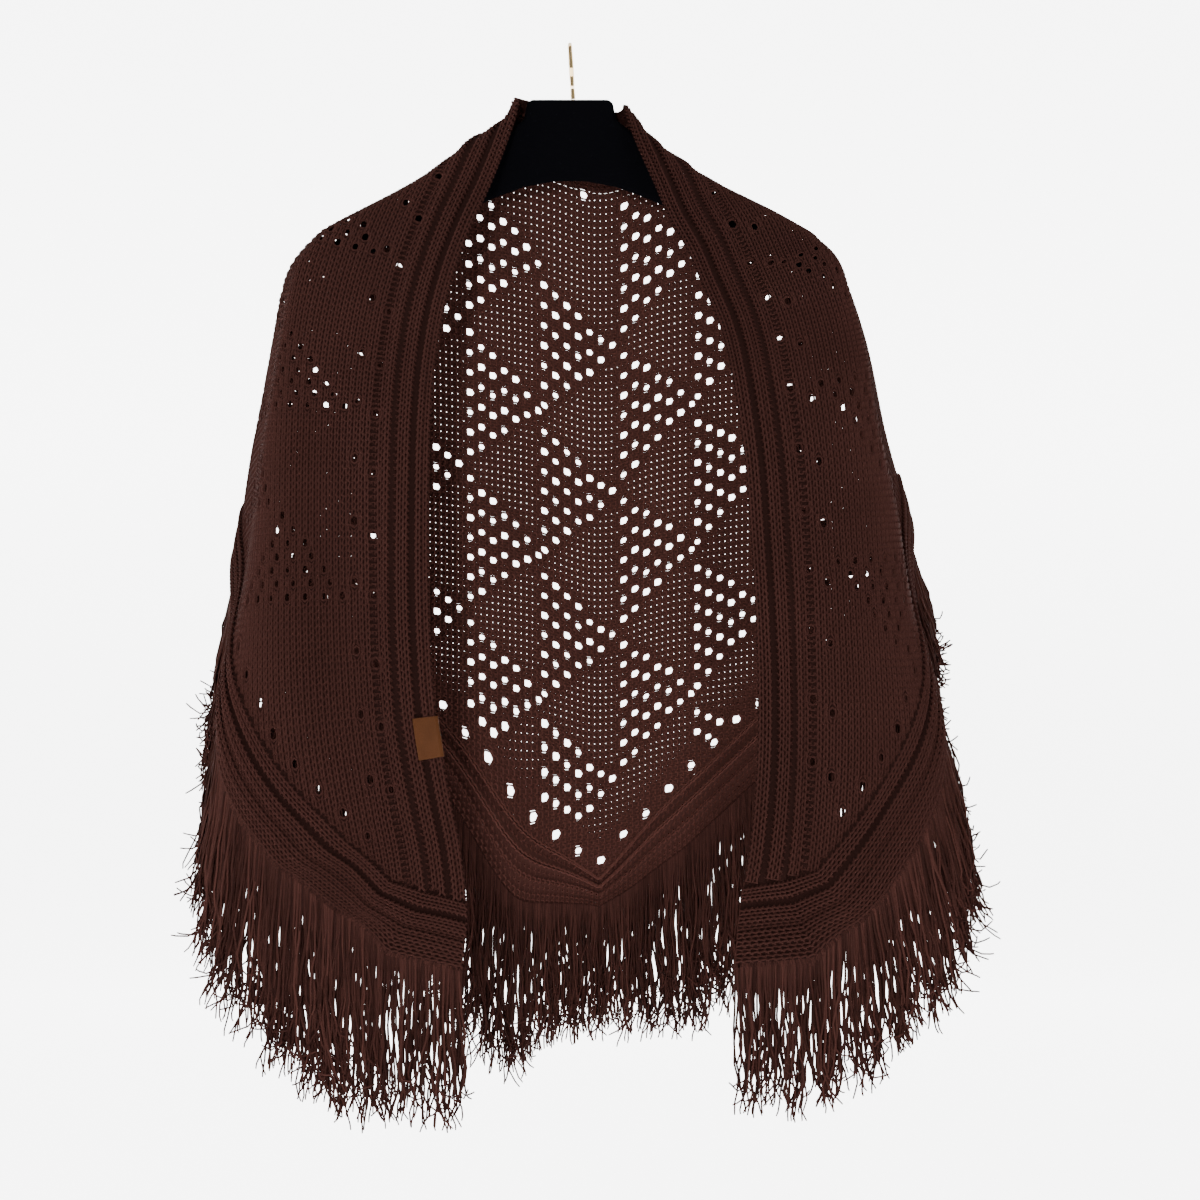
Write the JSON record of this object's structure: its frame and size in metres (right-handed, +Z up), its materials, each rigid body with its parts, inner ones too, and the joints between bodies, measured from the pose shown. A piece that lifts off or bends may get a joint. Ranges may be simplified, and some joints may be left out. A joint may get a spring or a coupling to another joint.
{
  "type": "knitted triangle shawl with fringe on a hanger",
  "caption": "Open-front triangle shawl in knitted lace with ribbed edges and a long fringe, draped over a flat velvet hanger with a wire hook.",
  "frame": {"origin": "the inside top of the hanger's hook, where it rests on a rail", "axes": "+X to the right seen from the front, +Y to the back, +Z up"},
  "size_m": [0.5915, 0.229, 0.8432],
  "materials": {
    "yarn": "matte knitted cotton and wool blend yarn, dark brown",
    "leather": "smooth tan leather",
    "velvet": "black flocked velvet over a rigid plank",
    "gold_wire": "polished gold-coloured wire"
  },
  "bodies": {
    "root": {"panel_back": "yarn", "panel_shoulder_left": "yarn", "panel_shoulder_right": "yarn", "panel_front_left": "yarn", "panel_front_right": "yarn", "band_neck": "yarn", "band_front_left": "yarn", "band_front_right": "yarn", "border_back_left": "yarn", "border_back_right": "yarn", "border_front_left": "yarn", "border_front_right": "yarn", "fringe_back_left": "yarn", "fringe_back_right": "yarn", "fringe_front_left": "yarn", "fringe_front_right": "yarn", "label": "leather", "hanger": "velvet", "hook": "gold_wire"}
  },
  "joints": []
}
